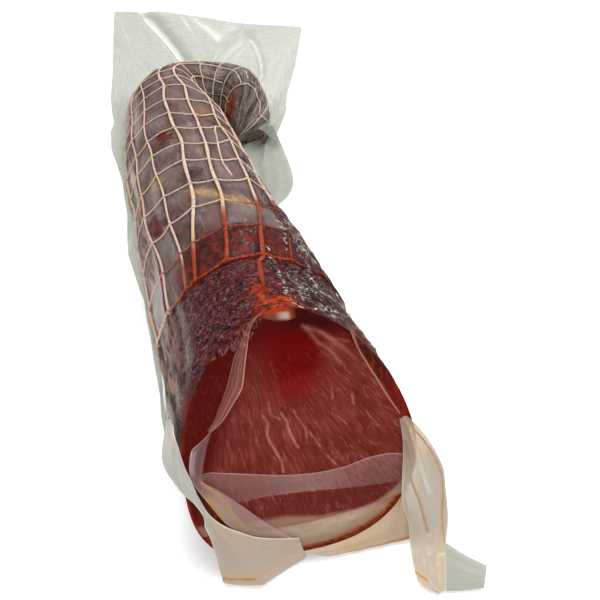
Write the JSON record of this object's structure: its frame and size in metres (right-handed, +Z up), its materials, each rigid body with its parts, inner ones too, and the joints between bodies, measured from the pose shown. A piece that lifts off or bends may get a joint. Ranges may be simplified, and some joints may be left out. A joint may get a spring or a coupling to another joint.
{
  "type": "cured pork loin",
  "caption": "Netted, paprika-cured pork loin in a tight clear bag, cut across on the slant to show lean and fat, with the far end hooked back beside it.",
  "frame": {"origin": "bottom centre of the whole part's box, on the surface it lies on", "axes": "+Y along the loin from the cut end to the hooked end, +X to the right seen from the cut end, +Z up"},
  "size_m": [0.2178, 0.6342, 0.0973],
  "materials": {
    "lean_meat": "moist satin, mottled",
    "pork_fat": "smooth satin",
    "net_string": "twisted elastic string",
    "clear_film": "clear glossy film"
  },
  "bodies": {
    "root": {"loin_lean": "lean_meat", "back_fat": "pork_fat", "top_fat": "pork_fat", "netting": "net_string", "bag_film": "clear_film"}
  },
  "joints": []
}
